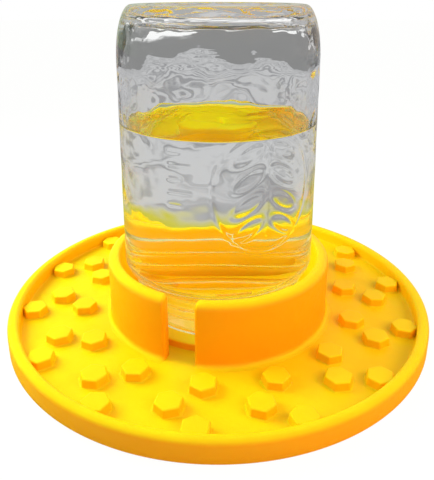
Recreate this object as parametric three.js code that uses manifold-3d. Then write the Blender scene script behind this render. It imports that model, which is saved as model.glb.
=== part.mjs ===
// A round drinking tray for bees, with a glass jar standing upside down in its collar.
// Millimetres, +Z up. The origin is the middle of the tray's underside, and the slot faces -Y.
import * as THREE from "three";
import { mergeVertices } from "three/addons/utils/BufferGeometryUtils.js";
import Module from "manifold-3d";

const wasm = await Module();
wasm.setup();

// Driving sizes of the tray
const trayRadius = 91;
const rimHeight = 9;
const rimWidth = 4.7;
const rimOuterRoundShare = 0.45;
const rimInnerRoundShare = 0.4;
const floorThickness = 2.7;
const floorFillet = 0.8;
const footRound = 0.7;

// Driving sizes of the jar, a regular-mouth pint
const jarHeight = 127;
const jarRadius = 40.8;
const jarTaper = 0.6;
const jarWall = 2;
const jarBaseThickness = 4.6;
const baseDishDepth = 1.8;
const baseRingWidth = 4.8;
const heelHeight = 21.5;
const heelInset = 6.6;
const shoulderStep = 6.1;
const shoulderHeight = 8;
const neckHeight = 14;
const mouthWall = 3.3;
const mouthRoundShare = 0.35;
const beadReach = 1.9;
const beadHalfHeight = 1.1;
const threadRound = 1.25;
const threadPitch = 5;
const threadStart = 3.6;
const threadTurns = 1.3;
const restGap = 0.3;

// Driving sizes of the collar that holds the jar
const collarPlay = 2.4;
const collarHeight = 26.55;
const collarWall = 5.1;
const collarOuterRoundShare = 0.53;
const collarInnerRoundShare = 0.24;
const collarFootFillet = 1.8;
const collarFootEdge = 0.25;
const slotWidth = 11.8;

// Driving sizes of the seat under the jar's mouth
const seatLedge = 5;
const seatInset = 0.4;
const seatEdgeRound = 0.6;
const seatNotchWidth = 6;
const seatNotchFloor = 0.8;
const seatNotchCount = 4;

// Driving sizes of the islands
const studRadius = 5.4;
const studHeight = 3.4;
const studDraft = 0.2;
const studEdge = 0.35;
const studSides = 6;
const studsPerRow = 14;
const studWallGap = 0.3;
const innerRowShare = 0.2735;
const middleRowShare = 0.5868;
const outerRowShare = 0.8646;
const rowTurnShare = 1 / 2;
const middleTurnShare = 1 / 6;

// The water in the jar, and in the well inside the seat
const airHeight = 41.4;
const waterGap = 0.3;

// How finely round shapes are divided, and how far a cut runs past what it cuts
const roundSteps = 48;
const cornerSteps = 3;
const curveSteps = 6;
const threadSides = 6;
const threadStepsPerTurn = 24;
const cutOverrun = 2;

// Sizes that follow from the driving ones
const rimInnerRadius = trayRadius - rimWidth;
const neckRadius = jarRadius - shoulderStep;
const mouthRadius = neckRadius - mouthWall;
const jarTopRadius = jarRadius - jarTaper;
const collarInnerRadius = jarRadius + collarPlay;
const collarRadius = collarInnerRadius + collarWall;
const collarFootRadius = collarRadius + collarFootFillet;
const seatRadius = neckRadius + seatLedge;
const seatInnerRadius = mouthRadius - seatInset;
const mouthLevel = floorThickness + studHeight + restGap;
const studLimitRadius = rimInnerRadius - floorFillet - studWallGap;
const studPitch = (2 * Math.PI) / studsPerRow;
const wellRadius = seatInnerRadius - waterGap;

const yellowPlastic = new THREE.MeshStandardMaterial({ color: 0xffc60a, roughness: 0.4, metalness: 0 });
const clearGlass = new THREE.MeshStandardMaterial({ color: 0xd3dcd8, roughness: 0.05, metalness: 0 });
clearGlass.transparent = true;
clearGlass.opacity = 0.35;
const clearWater = new THREE.MeshStandardMaterial({ color: 0xb9d7e4, roughness: 0.02, metalness: 0 });
clearWater.transparent = true;
clearWater.opacity = 0.4;

const point = (r, z) => new THREE.Vector2(r, z);

// Part of an ellipse as profile points, between two angles in degrees about its centre.
function arc(centreR, centreZ, reachR, reachZ, from, to, steps = curveSteps) {
  return Array.from({ length: steps + 1 }, (_, i) => {
    const angle = THREE.MathUtils.degToRad(THREE.MathUtils.lerp(from, to, i / steps));
    return point(centreR + reachR * Math.cos(angle), centreZ + reachZ * Math.sin(angle));
  });
}

// Turns a profile of radius and height round the upright axis.
function revolved(profile, steps = roundSteps) {
  return new THREE.LatheGeometry(profile, steps).rotateX(Math.PI / 2);
}

// A closed geometry as a solid that can be cut or joined.
function solidOf(geometry) {
  const bare = geometry.clone();
  bare.deleteAttribute("normal");
  bare.deleteAttribute("uv");
  const merged = mergeVertices(bare);
  const vertProperties = merged.attributes.position.array;
  const triVerts = new Uint32Array(merged.index.array);
  return new wasm.Manifold(new wasm.Mesh({ numProp: 3, vertProperties, triVerts }));
}

function geometryOf(solid) {
  const made = solid.getMesh();
  const geometry = new THREE.BufferGeometry();
  geometry.setAttribute("position", new THREE.BufferAttribute(made.vertProperties, 3));
  geometry.setIndex(new THREE.BufferAttribute(made.triVerts, 1));
  geometry.computeVertexNormals();
  return geometry;
}

function piece(name, geometry, material) {
  const mesh = new THREE.Mesh(geometry, material);
  mesh.name = name;
  return mesh;
}

// The dish: a flat floor and a rounded rim in one profile, from the middle of the underside outwards.
function trayDish() {
  const outerRound = rimWidth * rimOuterRoundShare;
  const innerRound = rimWidth * rimInnerRoundShare;
  const filletR = rimInnerRadius - floorFillet;
  const filletZ = floorThickness + floorFillet;
  const profile = [
    point(0, 0),
    ...arc(trayRadius - footRound, footRound, footRound, footRound, -90, 0, cornerSteps),
    ...arc(trayRadius - outerRound, rimHeight - outerRound, outerRound, outerRound, 0, 90),
    ...arc(rimInnerRadius + innerRound, rimHeight - innerRound, innerRound, innerRound, 90, 180),
    ...arc(filletR, filletZ, floorFillet, floorFillet, 0, -90, cornerSteps),
    point(0, floorThickness),
  ];
  return piece("tray_dish", revolved(profile), yellowPlastic);
}

// A straight bar that reaches out from the axis across a ring, for cutting a slot or a notch in it.
function crossBar(innerRadius, outerRadius, width, fromHeight, toHeight) {
  const length = outerRadius - innerRadius + 2 * cutOverrun;
  const bar = new THREE.BoxGeometry(width, length, toHeight - fromHeight);
  bar.translate(0, cutOverrun - innerRadius - length / 2, (fromHeight + toHeight) / 2);
  return bar;
}

// The collar: a thick ring with a round top and a small fillet at its foot, open from top to floor at the slot.
function jarCollar() {
  const outerRound = collarWall * collarOuterRoundShare;
  const innerRound = collarWall * collarInnerRoundShare;
  const filletZ = collarFootEdge + collarFootFillet;
  const profile = [
    point(collarInnerRadius, 0),
    point(collarFootRadius, 0),
    ...arc(collarFootRadius, filletZ, collarFootFillet, collarFootFillet, 270, 180, cornerSteps),
    ...arc(collarRadius - outerRound, collarHeight - outerRound, outerRound, outerRound, 0, 90),
    ...arc(collarInnerRadius + innerRound, collarHeight - innerRound, innerRound, innerRound, 90, 180, cornerSteps),
    point(collarInnerRadius, 0),
  ];
  const slot = crossBar(collarInnerRadius, collarFootRadius, slotWidth, -cutOverrun, collarHeight + cutOverrun);
  const ring = solidOf(revolved(profile)).subtract(solidOf(slot));
  const mesh = piece("jar_collar", geometryOf(ring), yellowPlastic);
  mesh.position.z = floorThickness;
  return mesh;
}

// The seat: a low ring that the jar's mouth stands on, with notches that let water out and air in.
function jarSeat() {
  const roundZ = studHeight - seatEdgeRound;
  const profile = [
    point(seatInnerRadius, 0),
    point(seatRadius, 0),
    ...arc(seatRadius - seatEdgeRound, roundZ, seatEdgeRound, seatEdgeRound, 0, 90, cornerSteps),
    point(seatInnerRadius, studHeight),
    point(seatInnerRadius, 0),
  ];
  let ring = solidOf(revolved(profile));
  for (let i = 0; i < seatNotchCount; i += 1) {
    const notch = crossBar(seatInnerRadius, seatRadius, seatNotchWidth, seatNotchFloor, studHeight + cutOverrun);
    notch.rotateZ((2 * Math.PI * (i + 1 / 2)) / seatNotchCount);
    ring = ring.subtract(solidOf(notch));
  }
  const mesh = piece("jar_seat", geometryOf(ring), yellowPlastic);
  mesh.position.z = floorThickness;
  return mesh;
}

// One island: a hexagon with a little draft and a broken top edge, one corner pointing out along +X.
// Where that corner would reach the rim's wall, it is cut back to stand just clear of it.
function studGeometry(rowRadius) {
  const profile = [
    point(0, 0),
    point(studRadius, 0),
    point(studRadius - studDraft, studHeight - studEdge),
    point(studRadius - studDraft - studEdge, studHeight),
    point(0, studHeight),
  ];
  const hexagon = revolved(profile, studSides).rotateZ(Math.PI / 2);
  const limitHeight = studHeight + 2 * cutOverrun;
  const limit = new THREE.CylinderGeometry(studLimitRadius, studLimitRadius, limitHeight, roundSteps);
  limit.rotateX(Math.PI / 2).translate(-rowRadius, 0, studHeight / 2);
  return geometryOf(solidOf(hexagon).intersect(solidOf(limit)));
}

// Three rows of islands, each at its share of the way from the collar's foot to the rim. The inner and outer
// rows stand half a pitch to each side of the slot's middle, and the middle row is turned back from them by a
// third of a pitch.
function studRows() {
  const rows = [
    { name: "inner_stud", acrossShare: innerRowShare, turn: studPitch * rowTurnShare },
    { name: "middle_stud", acrossShare: middleRowShare, turn: studPitch * middleTurnShare },
    { name: "outer_stud", acrossShare: outerRowShare, turn: studPitch * rowTurnShare },
  ];
  const group = new THREE.Group();
  for (const row of rows) {
    const radius = THREE.MathUtils.lerp(collarFootRadius, rimInnerRadius, row.acrossShare);
    for (let i = 0; i < studsPerRow; i += 1) {
      const angle = row.turn + i * studPitch - Math.PI / 2;
      const name = row.name + "_" + String(i + 1).padStart(2, "0");
      const mesh = piece(name, studGeometry(radius), yellowPlastic);
      mesh.position.set(radius * Math.cos(angle), radius * Math.sin(angle), floorThickness);
      mesh.rotation.z = angle;
      group.add(mesh);
    }
  }
  return group;
}

// A smooth step in radius as the profile rises: a hollow curve and then a round one, half the step each.
function shoulder(fromR, toR, fromZ) {
  const halfStep = (toR - fromR) / 2;
  const halfRise = shoulderHeight / 2;
  const hollow = arc(fromR + halfStep, fromZ, halfStep, halfRise, 180, 90, cornerSteps);
  const round = arc(toR - halfStep, fromZ + shoulderHeight, halfStep, halfRise, -90, 0, cornerSteps);
  return [...hollow, ...round.slice(1)];
}

// The inside of the jar from its mouth up to the middle of its base, with the mouth at zero height.
function jarInside(gap = 0) {
  const heelR = jarTopRadius - jarWall - gap - heelInset;
  const roof = jarHeight - jarBaseThickness;
  const shoulderZ = neckHeight + jarWall / 2;
  return [
    point(mouthRadius - gap, 0),
    ...shoulder(mouthRadius - gap, jarRadius - jarWall - gap, shoulderZ),
    ...arc(heelR, roof - heelHeight, heelInset, heelHeight, 0, 90),
    point(0, roof),
  ];
}

// The jar stands on its mouth, so its base is on top, with a shallow dish inside the base's flat ring.
function jarProfile() {
  const mouthRound = mouthWall * mouthRoundShare;
  const heelR = jarTopRadius - heelInset;
  const dishR = heelR - baseRingWidth;
  return [
    ...arc(mouthRadius + mouthRound, mouthRound, mouthRound, mouthRound, -180, -90, cornerSteps),
    ...arc(neckRadius - mouthRound, mouthRound, mouthRound, mouthRound, -90, 0, cornerSteps),
    ...arc(neckRadius, neckHeight - beadHalfHeight, beadReach, beadHalfHeight, -90, 90),
    ...shoulder(neckRadius, jarRadius, neckHeight + jarTaper),
    ...arc(heelR, jarHeight - heelHeight, heelInset, heelHeight, 0, 90),
    point(dishR, jarHeight),
    point(dishR - baseDishDepth, jarHeight - baseDishDepth),
    point(0, jarHeight - baseDishDepth),
    ...jarInside().slice(1).reverse(),
    point(mouthRadius, mouthRound),
  ];
}

// The line of the screw thread: it climbs round the neck at an even rate.
class ThreadLine extends THREE.Curve {
  getPoint(share, target = new THREE.Vector3()) {
    const turns = threadTurns * share;
    const angle = 2 * Math.PI * turns;
    return target.set(neckRadius * Math.cos(angle), neckRadius * Math.sin(angle), threadStart + threadPitch * turns);
  }
}

function glassJar() {
  const ridge = new THREE.Shape().absarc(0, 0, threadRound, 0, 2 * Math.PI);
  const thread = new THREE.ExtrudeGeometry(ridge, {
    steps: Math.round(threadTurns * threadStepsPerTurn),
    curveSegments: threadSides,
    extrudePath: new ThreadLine(),
    bevelEnabled: false,
  });
  const threaded = solidOf(revolved(jarProfile())).add(solidOf(thread));
  return piece("glass_jar", geometryOf(threaded), clearGlass);
}

// The lower part of a rising profile, ended on a level.
function below(profile, level) {
  const lower = profile.filter((corner) => corner.y < level);
  const last = lower[lower.length - 1];
  const next = profile[lower.length];
  return [...lower, last.clone().lerp(next, (level - last.y) / (next.y - last.y))];
}

// The water fills the jar from its mouth to the water line, a small gap in from the glass.
function water() {
  const waterLine = jarHeight - jarBaseThickness - airHeight;
  const profile = [point(0, 0), ...below(jarInside(waterGap), waterLine), point(0, waterLine)];
  return piece("water", revolved(profile), clearWater);
}

// The water that stands in the well under the jar's mouth, as deep as the seat round it is high.
function wellWater() {
  const pool = new THREE.CylinderGeometry(wellRadius, wellRadius, studHeight, roundSteps);
  pool.rotateX(Math.PI / 2).translate(0, 0, studHeight / 2);
  const mesh = piece("well_water", pool, clearWater);
  mesh.position.z = floorThickness;
  return mesh;
}

const tray = new THREE.Group();
tray.add(trayDish(), jarCollar(), jarSeat(), studRows(), wellWater());

const jar = new THREE.Group();
jar.add(glassJar(), water());
jar.position.z = mouthLevel;

const feeder = new THREE.Group();
feeder.add(tray, jar);

export default feeder;
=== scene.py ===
import math

import bmesh
import bpy
import numpy as np
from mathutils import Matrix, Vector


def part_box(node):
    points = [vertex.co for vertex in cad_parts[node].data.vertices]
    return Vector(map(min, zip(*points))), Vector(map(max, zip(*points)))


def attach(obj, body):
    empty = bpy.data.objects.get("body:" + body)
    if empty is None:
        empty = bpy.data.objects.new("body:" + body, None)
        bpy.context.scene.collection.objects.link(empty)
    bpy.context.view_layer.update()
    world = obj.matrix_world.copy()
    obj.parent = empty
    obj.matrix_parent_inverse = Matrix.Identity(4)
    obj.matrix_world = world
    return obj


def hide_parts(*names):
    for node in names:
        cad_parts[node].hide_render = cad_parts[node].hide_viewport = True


mm = 0.001

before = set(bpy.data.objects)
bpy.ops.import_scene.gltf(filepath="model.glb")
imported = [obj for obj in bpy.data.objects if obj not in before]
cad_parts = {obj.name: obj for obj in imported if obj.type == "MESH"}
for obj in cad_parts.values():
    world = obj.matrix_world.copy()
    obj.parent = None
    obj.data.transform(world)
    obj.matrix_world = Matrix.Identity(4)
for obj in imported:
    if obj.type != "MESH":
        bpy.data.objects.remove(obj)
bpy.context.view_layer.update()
print("frame loaded:", len(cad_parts), "nodes")


# Camera: it stands out from the jar's axis at an azimuth, and its lens axis meets the picture at axisPixel

cameraSettings = {
    "imageWidth": 434,
    "imageHeight": 480,
    "focalPixels": 552.7,
    "axisPixelX": 218.2,
    "axisPixelY": 168.75,
    "azimuth": 18.0,
    "pitch": 18.04,
    "distance": 223.65,
    "height": 138.95,
    "sensor": 36.0,
    "clipStart": 10,
}


def makeCamera(s):
    longSide = max(s["imageWidth"], s["imageHeight"])
    data = bpy.data.cameras.new("camera")
    data.sensor_width = s["sensor"]
    data.lens = s["focalPixels"] * s["sensor"] / longSide
    data.shift_x = (s["imageWidth"] / 2 - s["axisPixelX"]) / longSide
    data.shift_y = (s["axisPixelY"] - s["imageHeight"] / 2) / longSide
    data.clip_start = s["clipStart"] * mm
    camera = bpy.data.objects.new("camera", data)
    turn = math.radians(s["azimuth"])
    reach = s["distance"] * mm
    camera.location = (reach * math.sin(turn), -reach * math.cos(turn), s["height"] * mm)
    camera.rotation_euler = (math.radians(90 - s["pitch"]), 0, turn)
    bpy.context.scene.collection.objects.link(camera)
    bpy.context.scene.camera = camera


makeCamera(cameraSettings)
print("camera placed")


# Shaders written as sums, products and comparisons of sockets

white = (1, 1, 1, 1)


class Field:
    def __init__(self, graph, socket):
        self.graph = graph
        self.socket = socket

    def maths(self, operation, first, second):
        return self.graph.node("ShaderNodeMath", {"operation": operation}, {0: first, 1: second})

    def __add__(self, other):
        return self.maths("ADD", self, other)

    def __radd__(self, other):
        return self.maths("ADD", other, self)

    def __sub__(self, other):
        return self.maths("SUBTRACT", self, other)

    def __rsub__(self, other):
        return self.maths("SUBTRACT", other, self)

    def __mul__(self, other):
        return self.maths("MULTIPLY", self, other)

    def __rmul__(self, other):
        return self.maths("MULTIPLY", other, self)

    def __gt__(self, other):
        return self.maths("GREATER_THAN", self, other)

    def __lt__(self, other):
        return self.maths("LESS_THAN", self, other)

    def __abs__(self):
        return self.maths("ABSOLUTE", self, 0.0)

    def atLeast(self, other):
        return self.maths("MAXIMUM", self, other)

    def atMost(self, other):
        return self.maths("MINIMUM", self, other)


class Graph:
    def __init__(self, owner):
        owner.use_nodes = True
        self.nodes = owner.node_tree.nodes
        self.links = owner.node_tree.links
        self.nodes.clear()

    def node(self, kind, settings, sockets, output=0):
        # the settings come first, and then each socket gets a link or a value of its own
        made = self.nodes.new(kind)
        for key, value in settings.items():
            setattr(made, key, value)
        for key, value in sockets.items():
            if isinstance(value, Field):
                self.links.new(value.socket, made.inputs[key])
            else:
                made.inputs[key].default_value = value
        return Field(self, made.outputs[output]) if made.outputs else None

    def place(self):
        return self.node("ShaderNodeTexCoord", {}, {}, "Object")

    def normal(self):
        return self.node("ShaderNodeNewGeometry", {}, {}, "Normal")

    def lightPath(self, reading):
        return self.node("ShaderNodeLightPath", {}, {}, reading)

    def upPart(self, vector):
        return self.node("ShaderNodeSeparateXYZ", {}, {0: vector}, "Z")

    def dot(self, first, second):
        return self.node("ShaderNodeVectorMath", {"operation": "DOT_PRODUCT"}, {0: first, 1: second}, "Value")

    def mixColour(self, factor, first, second):
        # sockets 6 and 7 and output 2 are the Mix node's colours
        return self.node("ShaderNodeMix", {"data_type": "RGBA"}, {0: factor, 6: first, 7: second}, 2)

    def mixShader(self, factor, first, second):
        return self.node("ShaderNodeMixShader", {}, {0: factor, 1: first, 2: second})

    def ramp(self, value, low, high):
        # rises from 0 at low to 1 at high, and is level outside them
        return self.node(
            "ShaderNodeMapRange",
            {"interpolation_type": "SMOOTHSTEP"},
            {"Value": value, "From Min": low, "From Max": high},
        )

    def noise(self, place, scale, detail):
        return self.node("ShaderNodeTexNoise", {}, {"Vector": place, "Scale": scale, "Detail": detail})

    def bump(self, height, depth, strength=1.0, under=None):
        # under is a coarser bump that this one lies on
        sockets = {"Strength": strength, "Distance": depth * mm, "Height": height}
        if under is not None:
            sockets["Normal"] = under
        return self.node("ShaderNodeBump", {}, sockets)

    def principled(self, sockets):
        shader = self.node("ShaderNodeBsdfPrincipled", {}, sockets)
        self.node("ShaderNodeOutputMaterial", {}, {"Surface": shader})


# Plastic: satin yellow with soft clouds, shallow dimples and a fine grain. Painted shade: upright walls are
# more orange than level faces, and those that face the axis less so, in place of the shade that falls on
# them.

plasticLook = {
    "face": (0.98, 0.62, 0.005, 1),
    "cloud": (0.98, 0.72, 0.006, 1),
    # painted shade: the more orange colours of upright walls, on the tray, on the islands and facing the axis
    "trayWallShade": (1.0, 0.37, 0.004, 1),
    "islandWallShade": (1.0, 0.5, 0.005, 1),
    "innerWallShade": (1.0, 0.58, 0.005, 1),
    "cloudNoise": (45, 3),
    "cloudRamp": (0.42, 0.72),
    "cloudMost": 0.5,
    # the upward part of the normal up to which a face is a wall with painted shade, and from which it is
    # level
    "wallUp": 0.15,
    "levelUp": 0.95,
    # a point's distance from the middle along its normal: up to the first a wall is an inner one with a
    # lighter painted shade, and from the second it is not
    "innerTo": -35,
    "outerFrom": -10,
    "grainNoise": (2600, 2),
    "grainStrength": 0.2,
    "grainDepth": 0.06,
    "dimpleNoise": (420, 3),
    "dimpleStrength": 0.35,
    "dimpleDepth": 0.4,
    "noiseMiddle": 0.5,
    "roughness": 0.36,
    "cloudRoughness": 0.18,
    "dimpleRoughness": 0.1,
    "ior": 1.5,
    "specular": 0.13,
    "subsurface": 0.25,
    "subsurfaceRadius": (1.0, 0.35, 0.05),
    "subsurfaceScale": 2.5,
}


def plasticMaterial(s, name, wallShade):
    material = bpy.data.materials.new(name)
    g = Graph(material)
    place, normal, middle = g.place(), g.normal(), s["noiseMiddle"]
    cloud = g.noise(place, *s["cloudNoise"])
    grain = g.noise(place, *s["grainNoise"])
    dimple = g.noise(place, *s["dimpleNoise"])
    # painted shade: upright faces take the wall's shade colour, and walls that face the axis a lighter one
    wallShadeMask = 1 - g.ramp(g.upPart(normal), s["wallUp"], s["levelUp"])
    innerShadeMask = 1 - g.ramp(g.dot(normal, place), s["innerTo"] * mm, s["outerFrom"] * mm)
    wall = g.mixColour(innerShadeMask, wallShade, s["innerWallShade"])
    body = g.mixColour(g.ramp(cloud, *s["cloudRamp"]) * s["cloudMost"], s["face"], s["cloud"])
    rough = s["roughness"] + (cloud - middle) * s["cloudRoughness"] + (dimple - middle) * s["dimpleRoughness"]
    coarse = g.bump(dimple, s["dimpleDepth"], s["dimpleStrength"])
    g.principled(
        {
            "Base Color": g.mixColour(wallShadeMask, body, wall),
            "Roughness": rough,
            "IOR": s["ior"],
            "Specular IOR Level": s["specular"],
            "Subsurface Weight": s["subsurface"],
            "Subsurface Radius": s["subsurfaceRadius"],
            "Subsurface Scale": s["subsurfaceScale"] * mm,
            "Normal": g.bump(grain, s["grainDepth"], s["grainStrength"], coarse),
        }
    )
    return material


# Glass: clear, with a faint haze in places, and with waves and ripples that fade out low on the jar

glassLook = {
    "colour": (0.985, 0.99, 0.988, 1),
    "specularTint": (0.12, 0.12, 0.12, 1),
    "ior": 1.5,
    "haze": 0.012,
    "hazeNoise": (38, 4),
    "hazeRamp": (0.5, 0.75),
    "waveNoise": (95, 1),
    "waveDepth": 0.45,
    "rippleNoise": (260, 0),
    "rippleDepth": 0.03,
    # heights over the table between which the waves and ripples set in
    "waveFrom": 46,
    "waveTo": 66,
}


def glassMaterial(s):
    material = bpy.data.materials.new("clearGlass")
    g = Graph(material)
    place = g.place()
    above = g.ramp(g.upPart(place), s["waveFrom"] * mm, s["waveTo"] * mm)
    waves = g.bump(g.noise(place, *s["waveNoise"]) * above, s["waveDepth"])
    ripples = g.bump(g.noise(place, *s["rippleNoise"]) * above, s["rippleDepth"], under=waves)
    g.principled(
        {
            "Base Color": s["colour"],
            "Roughness": g.ramp(g.noise(place, *s["hazeNoise"]), *s["hazeRamp"]) * s["haze"],
            "IOR": s["ior"],
            "Specular Tint": s["specularTint"],
            "Transmission Weight": 1.0,
            "Normal": ripples,
        }
    )
    return material


# Water: clear, with faint ripples, and with painted light: a lime tint on the level top of the water in the
# jar

waterLook = {
    "colour": (0.996, 0.998, 0.997, 1),
    "topPaintedLight": (0.78, 1.0, 0.6, 1),
    # the painted tint starts at this height over the table, on faces whose normal points this far up or down
    "topFrom": 78,
    "levelRamp": (0.4, 0.8),
    "specularTint": (0.05, 0.05, 0.05, 1),
    "ior": 1.333,
    "roughness": 0.0,
    "rippleNoise": (90, 2),
    "rippleStrength": 0.1,
    "rippleDepth": 0.4,
}


def waterMaterial(s):
    material = bpy.data.materials.new("clearWater")
    g = Graph(material)
    place = g.place()
    level = g.ramp(abs(g.upPart(g.normal())), *s["levelRamp"])
    # painted light: the lime tint on the level top of the water
    top = level * (g.upPart(place) > s["topFrom"] * mm)
    g.principled(
        {
            "Base Color": g.mixColour(top, s["colour"], s["topPaintedLight"]),
            "Roughness": s["roughness"],
            "IOR": s["ior"],
            "Specular Tint": s["specularTint"],
            "Transmission Weight": 1.0,
            "Normal": g.bump(g.noise(place, *s["rippleNoise"]), s["rippleDepth"], s["rippleStrength"]),
        }
    )
    return material


# two copies of the plastic that differ only in their painted wall shade: the islands' shade is lighter
yellowPlastic = plasticMaterial(plasticLook, "yellowPlastic", plasticLook["trayWallShade"])
islandPlastic = plasticMaterial(plasticLook, "islandPlastic", plasticLook["islandWallShade"])
clearGlass = glassMaterial(glassLook)
clearWater = waterMaterial(waterLook)
print("materials made")


# Surfaces from arrays of points

meshSettings = {
    # points of a path that are no further apart than this are one point
    "samePoint": 1e-6,
    # of two points of a path that are no further apart than this share of its step, the later is left out
    "clearShare": 0.1,
    # points of a mesh that are no further apart than this are merged
    "mergeWithin": 0.001,
}


def arc(centre, reach, start, end, steps):
    # centre plus reach times the cosine and sine of an angle that goes evenly from start to end, and with two
    # different reaches, across and up, the arc of an ellipse
    across, up = np.broadcast_to(reach, 2)
    angle = np.radians(np.linspace(start, end, steps + 1))
    return np.stack([centre[0] + across * np.cos(angle), centre[1] + up * np.sin(angle)], 1)


def refine(path, step):
    # the same path with extra points, so that neighbours are hardly further apart than step
    path = np.concatenate([np.atleast_2d(np.asarray(p, float)) for p in path])
    along = np.concatenate([[0], np.cumsum(np.hypot(*np.diff(path, axis=0).T))])
    keep = np.concatenate([[True], np.diff(along) > meshSettings["samePoint"]])
    path, along = path[keep], along[keep]
    spans = int(along[-1] / step) + 1
    places = np.union1d(along, np.linspace(0, along[-1], spans + 1))
    places = places[np.concatenate([[True], np.diff(places) > step * meshSettings["clearShare"]])]
    places[-1] = along[-1]
    return np.stack([np.interp(places, along, path[:, i]) for i in (0, 1)], 1)


def fullTurn(columns):
    # evenly spaced azimuths all the way round, as one row
    return np.linspace(0, 2 * np.pi, columns, endpoint=False)[None, :]


def turned(radius, angle, height):
    # a point at a radius, an azimuth and a height, as x, y and z
    radius, angle, height = np.broadcast_arrays(radius, angle, height)
    return np.stack([radius * np.sin(angle), -radius * np.cos(angle), height], -1)


def gridObject(name, points, capped=False):
    # rows of points joined by quads, each row a closed ring; capped closes the first and last ring with a
    # face each, and points that coincide are merged, so a row on the axis becomes one point
    rows, columns = points.shape[:2]
    number = np.arange(rows * columns).reshape(rows, columns)
    ahead = np.roll(number, -1, 1)
    quads = np.stack([number[:-1], ahead[:-1], ahead[1:], number[1:]], -1).reshape(-1, 4)
    caps = [number[0, ::-1].tolist(), number[-1].tolist()] if capped else []
    mesh = bpy.data.meshes.new(name)
    mesh.from_pydata((points.reshape(-1, 3) * mm).tolist(), [], quads.tolist() + caps)
    smooth = np.ones(len(mesh.polygons), bool)
    smooth[len(quads):] = False
    mesh.polygons.foreach_set("use_smooth", smooth)
    shell = bmesh.new()
    shell.from_mesh(mesh)
    bmesh.ops.remove_doubles(shell, verts=shell.verts, dist=meshSettings["mergeWithin"] * mm)
    bmesh.ops.recalc_face_normals(shell, faces=shell.faces)
    shell.to_mesh(mesh)
    shell.free()
    made = bpy.data.objects.new(name, mesh)
    bpy.context.scene.collection.objects.link(made)
    return made


def finishPiece(piece, material, slot, body, *nodes):
    piece.data.materials.append(material)
    if material in (clearGlass, clearWater):
        # light reaches the plastic through glass and water without a shadow
        piece.visible_shadow = False
        piece.visible_diffuse = False
    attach(piece, body)
    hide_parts(*nodes)


def swell(x, y, seed, count, shortest, longest):
    # a sum of plane waves with random directions, phases and lengths, divided so that its usual size is 1
    draw = np.random.default_rng(seed)
    heading = draw.uniform(0, 2 * np.pi, count)
    wave = 2 * np.pi / draw.uniform(shortest, longest, count)
    phase = draw.uniform(0, 2 * np.pi, count)
    total = 0
    for h, k, p in zip(heading, wave, phase):
        total = total + np.sin(k * (x * np.cos(h) + y * np.sin(h)) + p)
    return total / math.sqrt(count / 2)


def smoothStep(value, low, high):
    # rises from 0 at low to 1 at high along a cubic that is level at both ends
    share = np.clip((value - low) / (high - low), 0, 1)
    return share * share * (3 - 2 * share)


def roundRidge(height, middle, half):
    # the square root of 1 less the square of the height's distance from middle in halves: a half circle
    return np.sqrt(np.clip(1 - ((height - middle) / half) ** 2, 0, 1))


# Sizes read from the frame

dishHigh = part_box("tray_dish")[1] / mm
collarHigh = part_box("jar_collar")[1] / mm
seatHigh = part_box("jar_seat")[1] / mm
jarLow, jarHigh = (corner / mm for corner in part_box("glass_jar"))
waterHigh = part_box("water")[1] / mm
trayRadius = dishHigh.x
rimTop = dishHigh.z
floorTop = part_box("jar_collar")[0].z / mm
mouthLevel = jarLow.z
jarTall = jarHigh.z - jarLow.z


# The dish: one profile of floor and rim turned round the axis, with a faint swell in the moulding

dishSettings = {
    "rimWidth": 4.7,
    "outerRound": 2.15,
    "innerRound": 2.0,
    "roundSteps": 10,
    "footRound": 0.9,
    "floorFillet": 1.0,
    "filletSteps": 6,
    "step": 2.0,
    "columns": 240,
    "swell": 0.035,
    # the swell's seed, how many waves it has, and their shortest and longest lengths
    "waves": (3, 12, 14, 45),
    # the swell is on what is no lower than this under the floor's top, and outside this radius
    "floorSlack": 0.01,
    "stillRadius": 1,
}


def makeDish(s):
    inner = trayRadius - s["rimWidth"]
    outerRound, innerRound, foot, fillet = s["outerRound"], s["innerRound"], s["footRound"], s["floorFillet"]
    profile = refine(
        [
            (0, 0),
            arc((trayRadius - foot, foot), foot, -90, 0, s["filletSteps"]),
            arc((trayRadius - outerRound, rimTop - outerRound), outerRound, 0, 90, s["roundSteps"]),
            arc((inner + innerRound, rimTop - innerRound), innerRound, 90, 180, s["roundSteps"]),
            arc((inner - fillet, floorTop + fillet), fillet, 0, -90, s["filletSteps"]),
            (0, floorTop),
        ],
        s["step"],
    )
    angle = fullTurn(s["columns"])
    radius, height = profile[:, :1], profile[:, 1:]
    onFloor = (height > floorTop - s["floorSlack"]) & (radius > s["stillRadius"]) & (radius < inner)
    lift = s["swell"] * swell(radius * np.sin(angle), radius * np.cos(angle), *s["waves"])
    piece = gridObject("tray_dish_moulded", turned(radius, angle, height + lift * onFloor))
    finishPiece(piece, yellowPlastic, "yellow_plastic", "tray", "tray_dish")


makeDish(dishSettings)
print("dish made")


# The islands: a hexagon with rounded corners, carried up from a fillet on the floor to a rounded top edge

studSettings = {
    "sides": 6,
    "radius": 5.4,
    "cornerRound": 0.95,
    "cornerSteps": 6,
    "footFillet": 0.55,
    "footFlange": 0.35,
    "draft": 0.2,
    "topRound": 0.65,
    "roundSteps": 5,
    "skirt": 0.25,
    "flangeLift": 0.012,
    # each row's share of the way from the collar's foot to the rim, and how many pitches its first island is
    # from the slot
    "rows": {"inner": (0.2735, 1 / 2), "middle": (0.5868, 1 / 6), "outer": (0.8646, 1 / 2)},
}

studNames = sorted(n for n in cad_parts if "_stud_" in n)
studPitch = 2 * math.pi / len([n for n in studNames if n.startswith("inner")])


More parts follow.
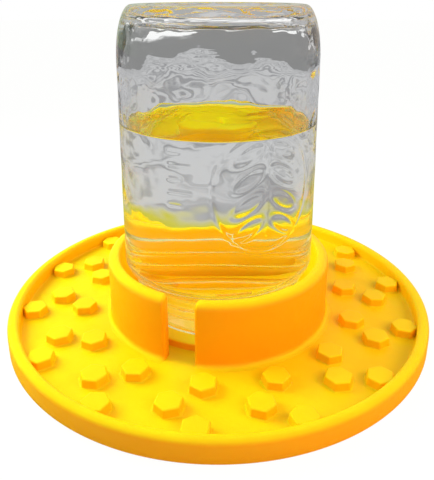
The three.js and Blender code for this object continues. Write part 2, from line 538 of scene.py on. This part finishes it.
def makeStud(s, node):
    row, place = node.split("_stud_")
    across, first = s["rows"][row]
    rowRadius = collarHigh.x + across * (trayRadius - dishSettings["rimWidth"] - collarHigh.x)
    angle = (first + int(place) - 1) * studPitch
    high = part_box(node)[1] / mm
    height = high.z - floorTop
    fillet, draft, topRound, lift = s["footFillet"], s["draft"], s["topRound"], s["flangeLift"]
    flangeEdge = draft + fillet + s["footFlange"]
    # each ring is an offset from the hexagon's outline and a height over the floor
    rings = np.concatenate(
        [
            [(flangeEdge, -s["skirt"]), (flangeEdge, lift)],
            arc((draft + fillet, lift + fillet), fillet, -90, -180, s["roundSteps"]),
            arc((-topRound, height - topRound), topRound, 0, 90, s["roundSteps"]),
        ]
    )
    halfSide = 180 / s["sides"]
    corner = np.repeat(np.arange(s["sides"]) * 2 * halfSide, s["cornerSteps"] + 1)
    swing = np.tile(np.linspace(-halfSide, halfSide, s["cornerSteps"] + 1), s["sides"])
    corner, facing = np.radians(corner), np.radians(corner + swing)
    centre = s["radius"] - s["cornerRound"] / math.cos(math.radians(halfSide))
    reach = s["cornerRound"] + rings[:, :1]
    out = centre * np.cos(corner) + reach * np.cos(facing) + rowRadius
    side = centre * np.sin(corner) + reach * np.sin(facing)
    x = out * math.sin(angle) + side * math.cos(angle)
    y = -out * math.cos(angle) + side * math.sin(angle)
    z = np.broadcast_to(rings[:, 1:] + floorTop, x.shape)
    piece = gridObject(node + "_moulded", np.stack([x, y, z], -1), capped=True)
    finishPiece(piece, islandPlastic, "yellow_plastic", "tray", node)


for name in studNames:
    makeStud(studSettings, name)
print("islands made:", len(studNames))


# The collar: its section is carried round from one side of the slot to the other, and shrinks along a
# quarter circle at both ends, which rounds the slot's edges

collarSettings = {
    "innerRadius": 43.2,
    "outerRadius": 48.3,
    "outerRound": 2.7,
    "outerRoundSteps": 9,
    "innerRound": 1.3,
    "innerRoundSteps": 6,
    "outerFillet": 2.2,
    "outerFilletSteps": 7,
    "innerFillet": 0.8,
    "innerFilletSteps": 4,
    "flange": 0.4,
    "flangeLift": 0.015,
    "skirt": 0.25,
    "step": 1.5,
    "slotHalf": 5.9,
    "endRound": 1.7,
    "endSteps": 7,
    "ringsPerHalf": 90,
    "swell": 0.05,
    "waves": (8, 10, 12, 40),
    # the radius at which the waves are worked out, and the height over the floor at which they start
    "waveRadius": 48,
    "stillHeight": 1,
}


def makeCollar(s):
    inner, outer, top = s["innerRadius"], s["outerRadius"], collarHigh.z - floorTop
    outerRound, innerRound, lift = s["outerRound"], s["innerRound"], s["flangeLift"]
    outerFillet, innerFillet = s["outerFillet"], s["innerFillet"]
    outerFoot, innerFoot = outer + outerFillet, inner - innerFillet
    section = refine(
        [
            (innerFoot - s["flange"], -s["skirt"]),
            (outerFoot + s["flange"], -s["skirt"]),
            (outerFoot + s["flange"], lift),
            arc((outerFoot, lift + outerFillet), outerFillet, -90, -180, s["outerFilletSteps"]),
            arc((outer - outerRound, top - outerRound), outerRound, 0, 90, s["outerRoundSteps"]),
            arc((inner + innerRound, top - innerRound), innerRound, 90, 180, s["innerRoundSteps"]),
            arc((innerFoot, lift + innerFillet), innerFillet, 0, -90, s["innerFilletSteps"]),
            (innerFoot - s["flange"], lift),
        ],
        s["step"],
    )
    # one half, from the slot's edge to the back: how far in from the slot, how much smaller, and how far on
    turn = np.radians(np.linspace(0, 90, s["endSteps"] + 1))
    depth = np.concatenate([s["endRound"] * (1 - np.cos(turn)), np.full(s["ringsPerHalf"], s["endRound"])])
    inset = np.concatenate([s["endRound"] * (1 - np.sin(turn)), np.zeros(s["ringsPerHalf"])])
    onward = np.concatenate([np.zeros(len(turn)), np.linspace(0, 1, s["ringsPerHalf"] + 1)[1:]])
    middle, halfWall = (inner + outer) / 2, (outer - inner) / 2
    radius = middle + (section[None, :, 0] - middle) * (1 - inset[:, None] / halfWall)
    height = section[None, :, 1] * (1 - inset[:, None] / top)
    angle = np.arcsin((s["slotHalf"] + depth[:, None]) / radius)
    angle = angle + onward[:, None] * (np.pi - angle)
    # the other half is its mirror image, in reverse
    radius = np.concatenate([radius, radius[-2::-1]])
    height = np.concatenate([height, height[-2::-1]])
    angle = np.concatenate([angle, 2 * np.pi - angle[-2::-1]])
    x, y = s["waveRadius"] * np.sin(angle), s["waveRadius"] * np.cos(angle)
    wobble = s["swell"] * swell(x, y + height, *s["waves"]) * (height > s["stillHeight"])
    piece = gridObject("jar_collar_moulded", turned(radius + wobble, angle, height + floorTop), capped=True)
    finishPiece(piece, yellowPlastic, "yellow_plastic", "tray", "jar_collar")


makeCollar(collarSettings)
print("collar made")


# The seat: a low ring with smooth dips where water leaves and air enters

seatSettings = {
    "outerRadius": 39.7,
    "innerRadius": 31.0,
    "topRound": 0.9,
    "roundSteps": 6,
    "fillet": 0.6,
    "filletSteps": 5,
    "flange": 0.3,
    "flangeLift": 0.012,
    "skirt": 0.25,
    "step": 0.8,
    "notchCount": 4,
    "notchHalf": 3.2,
    "notchBlend": 0.7,
    "notchDepth": 2.6,
    "columns": 288,
}


def makeSeat(s):
    inner, outer, top = s["innerRadius"], s["outerRadius"], seatHigh.z - floorTop
    topRound, fillet, lift = s["topRound"], s["fillet"], s["flangeLift"]
    innerEdge, outerEdge = inner - fillet - s["flange"], outer + fillet + s["flange"]
    section = refine(
        [
            (innerEdge, -s["skirt"]),
            (outerEdge, -s["skirt"]),
            (outerEdge, lift),
            arc((outer + fillet, fillet + lift), fillet, -90, -180, s["filletSteps"]),
            arc((outer - topRound, top - topRound), topRound, 0, 90, s["roundSteps"]),
            arc((inner + topRound, top - topRound), topRound, 90, 180, s["roundSteps"]),
            arc((inner - fillet, fillet + lift), fillet, 0, -90, s["filletSteps"]),
            (innerEdge, lift),
            (innerEdge, -s["skirt"]),
        ],
        s["step"],
    )
    angle = fullTurn(s["columns"])
    radius, height = section[:, :1], section[:, 1:]
    halfPitch = np.pi / s["notchCount"]
    offMiddle = np.abs(angle % (2 * halfPitch) - halfPitch) * radius
    dip = 1 - smoothStep(offMiddle, s["notchHalf"] - s["notchBlend"], s["notchHalf"] + s["notchBlend"])
    height = height - dip * np.clip(height, 0, top) * s["notchDepth"] / top
    piece = gridObject("jar_seat_moulded", turned(radius, angle, height + floorTop))
    finishPiece(piece, yellowPlastic, "yellow_plastic", "tray", "jar_seat")


makeSeat(seatSettings)
print("seat made")


# The jar: one closed profile, from the middle of its base down the outside, round the mouth and up the
# inside. Its heights are over its mouth, because it stands upside down.

jarSettings = {
    "bodyRadius": 40.8,
    "taper": 0.6,
    "wall": 2.0,
    "baseThickness": 4.6,
    "dishDepth": 1.8,
    "dishSteps": 6,
    "ringWidth": 4.8,
    "heelHeight": 21.5,
    "heelInset": 6.6,
    "outerHeelSteps": 22,
    "innerHeelSteps": 18,
    "neckRadius": 34.7,
    "neckHeight": 14.6,
    "shoulderRise": 8.0,
    "shoulderSteps": 8,
    "mouthRadius": 31.4,
    "mouthRound": 1.2,
    "mouthSteps": 5,
    "beadReach": 1.9,
    "beadHeight": 12.9,
    "beadHalf": 1.1,
    "threadReach": 1.25,
    "threadHalf": 1.0,
    "threadStart": 3.6,
    "threadPitch": 5.0,
    "threadTurns": 1.3,
    # heights along the thread's climb, from its two ends, between which it comes up to its full reach
    "threadRunIn": (-0.1, 0.6),
    "threadRunOut": (-0.6, 0.8),
    # the thread and the bead are only on what is this far outside the mouth's radius
    "ridgeMargin": 1.5,
    # the waves in each wall: their size, their seed, and how far under the base they start and stop fading
    "outerSwell": 0.03,
    "outerSeed": 5,
    "outerFade": (16, 6),
    "innerSwell": 0.11,
    "innerSeed": 11,
    "innerFade": (20, 8),
    # heights between which both set in
    "waveFrom": 40,
    "waveTo": 60,
    # how many waves there are, their most crests round the jar, their radians of climb a millimetre, and
    # their phases in radians
    "waveCount": 16,
    "mostCrests": 9,
    "waveClimb": (0.05, 0.45),
    "phases": (0, 6.28),
    # azimuths of the side that the camera sees, where the mesh is fine
    "fineFrom": -36,
    "fineTo": 86,
    "fineStep": 0.62,
    "degreesPerMillimetre": 1.4,
    "coarseStep": 3.0,
    "insideStep": 1.6,
}


def shoulderCurve(s, fromRadius, toRadius, fromHeight):
    # two quarter ellipses, hollow and then round, that step out from one radius to another
    half, rise, steps = (toRadius - fromRadius) / 2, s["shoulderRise"], s["shoulderSteps"]
    return np.concatenate(
        [
            arc((fromRadius + half, fromHeight), (half, rise / 2), 180, 90, steps),
            arc((toRadius - half, fromHeight + rise), (half, rise / 2), -90, 0, steps)[1:],
        ]
    )


def jarInside(s, gap=0.0):
    # radius and height of the inside from the mouth to the middle of the base, smaller all round by a gap
    heel = s["bodyRadius"] - s["taper"] - s["wall"] - gap - s["heelInset"]
    roof = jarTall - s["baseThickness"]
    neck, body = s["mouthRadius"] - gap, s["bodyRadius"] - s["wall"] - gap
    heelReach = (s["heelInset"], s["heelHeight"])
    return np.concatenate(
        [
            shoulderCurve(s, neck, body, s["neckHeight"] + s["wall"] / 2),
            arc((heel, roof - s["heelHeight"]), heelReach, 0, 90, s["innerHeelSteps"]),
            [(0, roof)],
        ]
    )


def jarOutside(s):
    # radius and height of the outside from the mouth to the middle of the base
    heel = s["bodyRadius"] - s["taper"] - s["heelInset"]
    ring, dishLevel = heel - s["ringWidth"], jarTall - s["dishDepth"]
    rounding, steps, heelReach = s["mouthRound"], s["mouthSteps"], (s["heelInset"], s["heelHeight"])
    return np.concatenate(
        [
            arc((s["mouthRadius"] + rounding, rounding), rounding, 180, 270, steps),
            arc((s["neckRadius"] - rounding, rounding), rounding, -90, 0, steps),
            shoulderCurve(s, s["neckRadius"], s["bodyRadius"], s["neckHeight"]),
            arc((heel, jarTall - s["heelHeight"]), heelReach, 0, 90, s["outerHeelSteps"]),
            arc((ring, dishLevel), s["dishDepth"], 90, 180, s["dishSteps"]),
            [(0, dishLevel)],
        ]
    )


def threadRidge(s, angle, height):
    # a round ridge whose middle climbs evenly with the azimuth, once for each turn that it makes
    first, last = s["threadStart"], s["threadStart"] + s["threadPitch"] * s["threadTurns"]
    ridge = 0
    for turn in range(math.ceil(s["threadTurns"])):
        middle = first + s["threadPitch"] * (angle / (2 * np.pi) + turn)
        ends = smoothStep(last - middle, *s["threadRunOut"]) * smoothStep(middle - first, *s["threadRunIn"])
        ridge = ridge + ends * roundRidge(height, middle, s["threadHalf"])
    return s["threadReach"] * ridge


def wallWaves(s, angle, height, seed):
    # a sum of waves with a whole number of crests round the jar, which lean either way as they climb
    draw = np.random.default_rng(seed)
    total = 0
    for _ in range(s["waveCount"]):
        crests, climb = draw.integers(-s["mostCrests"], s["mostCrests"] + 1), draw.uniform(*s["waveClimb"])
        total = total + np.sin(crests * angle + climb * height + draw.uniform(*s["phases"]))
    return total / math.sqrt(s["waveCount"] / 2)


def waveBand(s, height, fade):
    # 1 on the straight of the wall, and 0 low on the jar and near its base
    return smoothStep(height, s["waveFrom"], s["waveTo"]) * (
        1 - smoothStep(height, jarTall - fade[0], jarTall - fade[1])
    )


reliefSettings = {
    "height": 0.19,
    "lineHalf": 0.65,
    # the oval's azimuth, its middle's height over the mouth, and its half width and half height
    "oval": (44, 63, 21, 23),
    # leaves in pairs along a stem: how many pairs, how far apart, the stem's half length in these gaps, how
    # far the leaves are from the stem, their tilt, and their half sizes
    "pairs": 4,
    "pairGap": 9.5,
    "stemShare": 1.8,
    "leafOut": 7.5,
    "leafTilt": 34,
    "leafHalf": (6.6, 2.7),
    # the scale's azimuth, its lowest and highest bar and how many there are, and the half lengths that they
    # take in turn
    "scale": (-8, 58, 78, 5),
    "barHalf": (2.2, 4.2),
}


def roundFrom(angle, azimuth):
    # how far round the wall each angle is from an azimuth, the shorter way
    return np.angle(np.exp(1j * (angle - math.radians(azimuth)))) * jarSettings["bodyRadius"]


def ovalLine(across, up, half):
    # how far each place is from an oval's outline, in shares of its half sizes, times the smaller half size
    return np.abs(np.hypot(across / half[0], up / half[1]) - 1) * min(half)


def pressedRelief(s, angle, height):
    # lines with a bell-shaped section: an oval with a sprig of leaves in it, and a measuring scale's bars
    azimuth, level, *half = s["oval"]
    across, up = roundFrom(angle, azimuth), height - level
    pastStem = np.clip(np.abs(up) - s["pairGap"] * s["stemShare"], 0, None)
    lines = [ovalLine(across, up, half), np.hypot(across, pastStem)]
    tilt = math.radians(s["leafTilt"])
    for pair in range(s["pairs"]):
        leafUp = up - s["pairGap"] * (pair - (s["pairs"] - 1) / 2)
        for side in (-1, 1):
            leafAcross = across * side - s["leafOut"]
            along = leafAcross * math.cos(tilt) - leafUp * math.sin(tilt)
            over = leafAcross * math.sin(tilt) + leafUp * math.cos(tilt)
            lines.append(ovalLine(along, over, s["leafHalf"]))
    azimuth, low, high, count = s["scale"]
    across = roundFrom(angle, azimuth)
    for i, level in enumerate(np.linspace(low, high, count)):
        half = s["barHalf"][i % len(s["barHalf"])]
        lines.append(np.hypot(np.clip(np.abs(across - half) - half, 0, None), height - level))
    return s["height"] * np.exp(-((np.minimum.reduce(lines) / s["lineHalf"]) ** 2))


def makeJar(s):
    fine = np.arange(s["fineFrom"], s["fineTo"], s["fineStep"] * s["degreesPerMillimetre"])
    coarse = np.arange(s["fineTo"], s["fineFrom"] + 360, s["coarseStep"])
    angle = np.radians(np.concatenate([fine, coarse]))[None, :] % (2 * np.pi)

    outside = refine([jarOutside(s)], s["fineStep"])[::-1]
    radius, height = outside[:, :1], outside[:, 1:]
    onNeck = (height > s["mouthRound"]) & (height < s["neckHeight"])
    onNeck = onNeck & (radius > s["mouthRadius"] + s["ridgeMargin"])
    bead = s["beadReach"] * roundRidge(height, s["beadHeight"], s["beadHalf"])
    ridges = onNeck * np.maximum(threadRidge(s, angle, height), bead)
    waves = s["outerSwell"] * waveBand(s, height, s["outerFade"])
    waves = waves * wallWaves(s, angle, height, s["outerSeed"])
    relief = pressedRelief(reliefSettings, angle, height)
    outer = turned(radius + ridges + waves + relief, angle, height)

    inside = refine([jarInside(s)], s["insideStep"])
    radius, height = inside[:, :1], inside[:, 1:]
    waves = s["innerSwell"] * waveBand(s, height, s["innerFade"])
    waves = waves * wallWaves(s, angle, height, s["innerSeed"])
    inner = turned(radius + waves, angle, height)

    points = np.concatenate([outer, inner])
    points[..., 2] += mouthLevel
    piece = gridObject("glass_jar_clear", points)
    finishPiece(piece, clearGlass, "clear_glass", "jar", "glass_jar")


makeJar(jarSettings)
print("jar made")


# The water: the jar's inside, wetting the glass, with a flat top that climbs a little at the wall, and the
# disc of water in the well under the mouth, which meets it without an air gap

waterSettings = {
    "wet": 0.25,
    # the climb at the wall falls off with an exponential, and reaches 0 at its width through a power
    "meniscusRise": 1.3,
    "meniscusWidth": 4.4,
    "meniscusFall": 3.2,
    "meniscusPower": 0.5,
    "meniscusPoints": 12,
    "footRadius": 31.25,
    "footRise": 1.2,
    "step": 1.6,
    "wellRadius": 31.1,
    "wellSink": 0.05,
    "wellMeet": 0.12,
    "wellStep": 3.0,
    "columns": 200,
}


def makeWater(s):
    level = waterHigh.z - mouthLevel
    wall = refine([jarInside(jarSettings, -s["wet"])], s["step"])
    wall = wall[wall[:, 1] < level + s["meniscusRise"]]
    toWall = np.linspace(0, 1, s["meniscusPoints"])[::-1]
    rise = s["meniscusRise"] * np.exp(-s["meniscusFall"] * (1 - toWall)) * toWall ** s["meniscusPower"]
    top = np.stack([wall[-1, 0] - s["meniscusWidth"] * (1 - toWall), level + rise], 1)
    foot = [(0, 0), (s["footRadius"], 0), (jarSettings["mouthRadius"] + s["wet"], s["footRise"])]
    profile = refine([foot, wall, top, (0, level)], s["step"])
    points = turned(profile[:, :1], fullTurn(s["columns"]), profile[:, 1:] + mouthLevel)
    piece = gridObject("water_clear", points)
    finishPiece(piece, clearWater, "water", "jar", "water")


def makeWellWater(s):
    low, high = floorTop - s["wellSink"], mouthLevel + s["wellMeet"]
    profile = refine([(0, low), (s["wellRadius"], low), (s["wellRadius"], high), (0, high)], s["wellStep"])
    piece = gridObject("well_water_clear", turned(profile[:, :1], fullTurn(s["columns"]), profile[:, 1:]))
    finishPiece(piece, clearWater, "water", "tray", "well_water")


makeWater(waterSettings)
makeWellWater(waterSettings)
print("water made")


# Studio: a floor disc and a world that are white to the camera, and greyer where glass shows them. The world
# and two lamps light the object, and all three are tinted.

raySettings = {
    # a ray is deep in glass and water after more faces than this, and mirrored again after more mirrors
    "deepFrom": 6.5,
    "againFrom": 1.5,
    "bounces": 96,
}


def hasPassed(g, depth):
    # 1 for a ray that has bounced at least once in the way that the depth counts, 0 for the rest
    return g.lightPath(depth).atMost(1.0)


def directlyThrough(g):
    # 1 for light seen straight through glass or water, 0 for light that reaches a rough surface through them
    return hasPassed(g, "Transmission Depth") * (1 - hasPassed(g, "Diffuse Depth"))


def throughOrMirrored(g):
    # the same, and 1 too for what a glossy surface mirrors
    either = hasPassed(g, "Transmission Depth").atLeast(hasPassed(g, "Glossy Depth"))
    return either * (1 - hasPassed(g, "Diffuse Depth"))


def deepThrough(g):
    # 1 for light that has passed many faces of glass and water, as it has at the jar's foot, 0 for the rest
    return g.lightPath("Transmission Depth") > raySettings["deepFrom"]


floorSettings = {
    "rings": (0, 200, 500, 900, 2600),
    "columns": 96,
    "sink": 0.02,
    "paper": (0.8, 0.8, 0.8, 1),
    # the camera sees this share of a white glow on the paper, and the rest of it keeps the shadow
    "glowShare": 0.9,
    "glow": 1.05,
    # what glass shows: the floor near by and far off, grey patches of painted shade, painted yellow light
    # beside the tray and in what glass mirrors near it, and painted gold light deep in glass
    "near": (0.6, 0.6, 0.61, 1),
    "far": (0.56, 0.56, 0.57, 1),
    "farFrom": 300,
    "farTo": 480,
    "shade": (0.33, 0.33, 0.34, 1),
    "shadeNoise": (20, 3),
    "shadeRamp": (0.45, 0.62),
    "paintedSpill": (0.62, 0.58, 0.06, 1),
    "spillFrom": 18,
    "spillTo": 44,
    "mirrorSpillFrom": 170,
    "mirrorSpillTo": 270,
    "deep": (0.8, 0.61, 0.07, 1),
}


def makeFloor(s):
    rings = np.array(s["rings"])[:, None]
    floor = gridObject("floor", turned(rings, fullTurn(s["columns"]), -s["sink"]))
    material = bpy.data.materials.new("floorPaper")
    g = Graph(material)
    place = g.place()
    fromMiddle = g.node("ShaderNodeVectorMath", {"operation": "LENGTH"}, {0: place}, "Value")
    # painted light: the tray's yellow spill on the floor beside it, and on the floor that glass mirrors near
    # it
    paintedSpill = 1 - g.ramp(fromMiddle, (trayRadius + s["spillFrom"]) * mm, (trayRadius + s["spillTo"]) * mm)
    nearMirror = 1 - g.ramp(fromMiddle, s["mirrorSpillFrom"] * mm, s["mirrorSpillTo"] * mm)
    onlyMirrored = hasPassed(g, "Glossy Depth") * (1 - hasPassed(g, "Transmission Depth"))
    paintedSpill = paintedSpill.atLeast(onlyMirrored * nearMirror)
    seen = g.mixColour(g.ramp(fromMiddle, s["farFrom"] * mm, s["farTo"] * mm), s["near"], s["far"])
    # painted shade: grey patches
    seen = g.mixColour(g.ramp(g.noise(place, *s["shadeNoise"]), *s["shadeRamp"]), seen, s["shade"])
    seen = g.mixColour(paintedSpill, seen, s["paintedSpill"])
    # painted light: gold where light has passed deep through glass and water
    seen = g.mixColour(deepThrough(g), seen, s["deep"])
    paper = g.node("ShaderNodeBsdfDiffuse", {}, {"Color": s["paper"]})
    inGlass = g.node("ShaderNodeEmission", {}, {"Color": seen, "Strength": 1.0})
    glow = g.node("ShaderNodeEmission", {}, {"Color": white, "Strength": s["glow"]})
    shader = g.mixShader(throughOrMirrored(g), paper, inGlass)
    shader = g.mixShader(g.lightPath("Is Camera Ray") * s["glowShare"], shader, glow)
    g.node("ShaderNodeOutputMaterial", {}, {"Surface": shader})
    floor.data.materials.append(material)


worldSettings = {
    # the strength that lights the object, and what glass shows: the plain studio, and its bright parts
    "ambient": 0.655,
    "throughGlass": 0.26,
    "brightest": 1.0,
    # heights are the upward part of a direction, and the two noises have their cells on a ball of radius 1
    "windowNoise": (4.5, 1.0),
    "windowRamp": (0.51, 0.54),
    "windowHeight": (0.04, 0.1),
    # mirrored, it is bright from this height up and dimmer in patches, and mirrored again it is no darker
    # than mirroredAgain
    "mirrorHeight": (0.38, 0.48),
    "mirrorNoise": (7, 0.0),
    "mirrorRamp": (0.44, 0.48),
    "mirrorDimming": 0.65,
    "mirroredAgain": 0.42,
    # deep in glass the bright part reaches lower by this, and is warm
    "deepLift": 0.25,
    "deepSky": (1.0, 0.84, 0.42, 1),
    # tints of the light on the object, from the camera's left to its right, and how far out they are full
    "leftSky": (0.8, 1.0, 0.74, 1),
    "rightSky": (1.0, 0.88, 0.8, 1),
    "sideReach": 0.8,
}


def makeWorld(s):
    world = bpy.data.worlds.new("studio")
    bpy.context.scene.world = world
    g = Graph(world)
    direction = g.node("ShaderNodeTexCoord", {}, {}, "Generated")
    elevation = g.upPart(direction)
    camera = g.lightPath("Is Camera Ray")
    mirrored = hasPassed(g, "Glossy Depth")
    through = directlyThrough(g)
    deep = deepThrough(g)

    window = g.ramp(g.noise(direction, *s["windowNoise"]), *s["windowRamp"])
    window = window * g.ramp(elevation, *s["windowHeight"])
    straight = s["throughGlass"] + window * (s["brightest"] - s["throughGlass"])
    upward = g.ramp(elevation + deep * s["deepLift"], *s["mirrorHeight"])
    dim = (1 - deep) * (1 - g.ramp(g.noise(direction, *s["mirrorNoise"]), *s["mirrorRamp"]))
    upward = upward * (1 - dim * s["mirrorDimming"])
    again = g.lightPath("Glossy Depth") > raySettings["againFrom"]
    upward = upward.atLeast(again * s["mirroredAgain"])
    seen = (1 - mirrored) * straight + mirrored * upward * s["brightest"]
    strength = s["ambient"] + camera * (1 - s["ambient"]) + through * (seen - s["ambient"])

    turn = math.radians(cameraSettings["azimuth"])
    aside = g.dot(direction, (math.cos(turn), math.sin(turn), 0))
    tint = g.mixColour(g.ramp(aside, -s["sideReach"], s["sideReach"]), s["leftSky"], s["rightSky"])
    tint = g.mixColour(through, tint, g.mixColour(deep, white, s["deepSky"]))
    tint = g.mixColour(camera, tint, white)
    light = g.node("ShaderNodeBackground", {}, {"Color": tint, "Strength": strength})
    g.node("ShaderNodeOutputWorld", {}, {"Surface": light})


lampSettings = {
    # each place is to the right, away and up from the middle, as the camera sees it
    "key": {"power": 1.15, "size": 200, "place": (-255, 60, 165), "colour": (0.7, 1.0, 0.62)},
    "fill": {"power": 0.8, "size": 240, "place": (290, -150, 210), "colour": (1.0, 0.76, 0.45)},
}


def makeLamp(s, name):
    data = bpy.data.lights.new(name, "AREA")
    data.shape = "DISK"
    data.energy = s["power"]
    data.size = s["size"] * mm
    data.color = s["colour"]
    lamp = bpy.data.objects.new(name, data)
    lamp.visible_glossy = False
    lamp.visible_transmission = False
    turn = math.radians(cameraSettings["azimuth"])
    right, away, up = (value * mm for value in s["place"])
    lamp.location = (
        right * math.cos(turn) - away * math.sin(turn),
        right * math.sin(turn) + away * math.cos(turn),
        up,
    )
    lamp.rotation_euler = (-lamp.location).to_track_quat("-Z", "Y").to_euler()
    bpy.context.scene.collection.objects.link(lamp)


makeFloor(floorSettings)
makeWorld(worldSettings)
for name, settings in lampSettings.items():
    makeLamp(settings, name + "Lamp")
bpy.context.scene.view_settings.view_transform = "Standard"
bpy.context.scene.cycles.max_bounces = raySettings["bounces"]
bpy.context.scene.cycles.transmission_bounces = raySettings["bounces"]
bpy.context.scene.cycles.glossy_bounces = raySettings["bounces"]
print("studio made")
